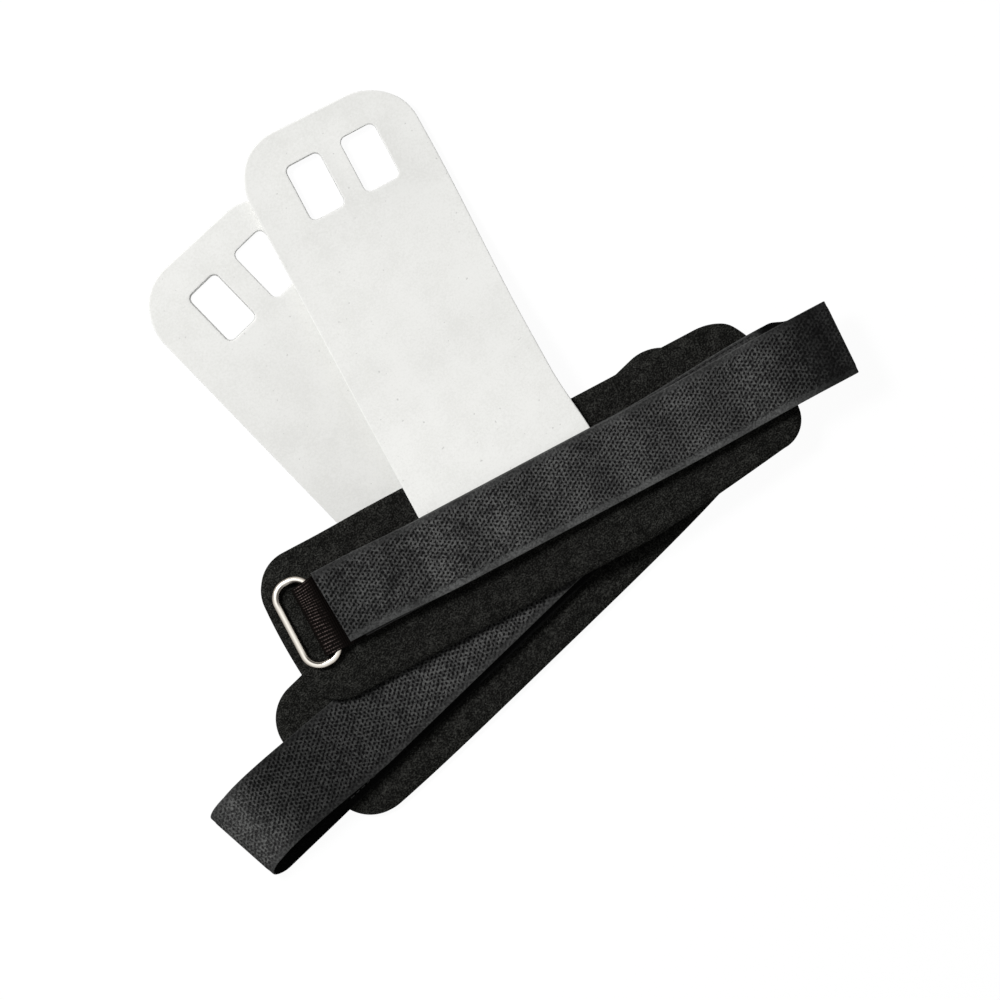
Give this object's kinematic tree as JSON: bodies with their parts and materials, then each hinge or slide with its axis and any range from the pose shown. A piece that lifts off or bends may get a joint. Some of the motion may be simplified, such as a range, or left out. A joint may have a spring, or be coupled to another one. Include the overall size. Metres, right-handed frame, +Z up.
{
  "type": "hand grips",
  "caption": "Suede palm grips with finger holes and padded hook-and-loop wrist straps, one laid across the other; the straps open and the wire rings pivot.",
  "frame": {"origin": "on the table, under the middle of the pair's box", "axes": "+X along the lower strap towards its ring, +Y from the lower wrist pad towards its fingers, +Z up"},
  "size_m": [0.2976, 0.2186, 0.0204],
  "materials": {
    "white_suede": "napped suede",
    "napped_knit": "short nap",
    "foam_rubber": "cut foam",
    "lining_knit": "smooth knit",
    "loop_tape": "looped tape",
    "hook_tape": "hooked tape",
    "ribbed_webbing": "ribbed weave",
    "nickel_wire": "polished nickel",
    "sewing_thread": "twisted thread"
  },
  "bodies": {
    "lower_grip": {"lower_pad_lining": "lining_knit", "lower_pad_core": "foam_rubber", "lower_pad_face": "napped_knit", "lower_palm_leather": "white_suede", "lower_strap_base": "loop_tape", "lower_strap_fold": "loop_tape", "lower_ring_keeper": "ribbed_webbing", "lower_finger_seam": "sewing_thread", "lower_wrist_seam": "sewing_thread", "lower_keeper_tack": "sewing_thread"},
    "lower_tail": {"lower_strap_tail": "loop_tape", "lower_hook_patch": "hook_tape"},
    "lower_ring": {"lower_wire_ring": "nickel_wire"},
    "upper_grip": {"upper_pad_lining": "lining_knit", "upper_pad_core": "foam_rubber", "upper_pad_face": "napped_knit", "upper_palm_leather": "white_suede", "upper_strap_base": "loop_tape", "upper_strap_fold": "loop_tape", "upper_ring_keeper": "ribbed_webbing", "upper_finger_seam": "sewing_thread", "upper_wrist_seam": "sewing_thread", "upper_keeper_tack": "sewing_thread"},
    "upper_tail": {"upper_strap_tail": "loop_tape", "upper_hook_patch": "hook_tape"},
    "upper_ring": {"upper_wire_ring": "nickel_wire"}
  },
  "joints": [
    {"name": "upper_grip_lift", "type": "slide", "parent": "lower_grip", "child": "upper_grip", "axis": [0, 0, 1], "range_m": [0, 0.7]},
    {"name": "upper_strap_open", "type": "hinge", "parent": "upper_grip", "child": "upper_tail", "pos_m": [0.14105, -0.09665, 0.01748], "axis": [0.2773, 0.9608, 0], "range_deg": [0, 175], "deforming": ["upper_strap_fold"]},
    {"name": "upper_ring_pivot", "type": "hinge", "parent": "upper_grip", "child": "upper_ring", "pos_m": [-0.06679, -0.03666, 0.01675], "axis": [0.2773, 0.9608, 0], "range_deg": [0, 120]},
    {"name": "lower_strap_open", "type": "hinge", "parent": "lower_grip", "child": "lower_tail", "pos_m": [-0.14389, -0.07517, 0.00517], "axis": [0, -1, 0], "range_deg": [0, 175], "deforming": ["lower_strap_fold"]},
    {"name": "lower_ring_pivot", "type": "hinge", "parent": "lower_grip", "child": "lower_ring", "pos_m": [0.08118, -0.07517, 0.0064], "axis": [0, -1, 0], "range_deg": [0, 120]}
  ],
  "couplings": [
    {"joint": "lower_strap_open", "follows": "upper_grip_lift", "rad_per_m": 4.3633},
    {"joint": "lower_ring_pivot", "follows": "upper_grip_lift", "rad_per_m": 2.992}
  ]
}
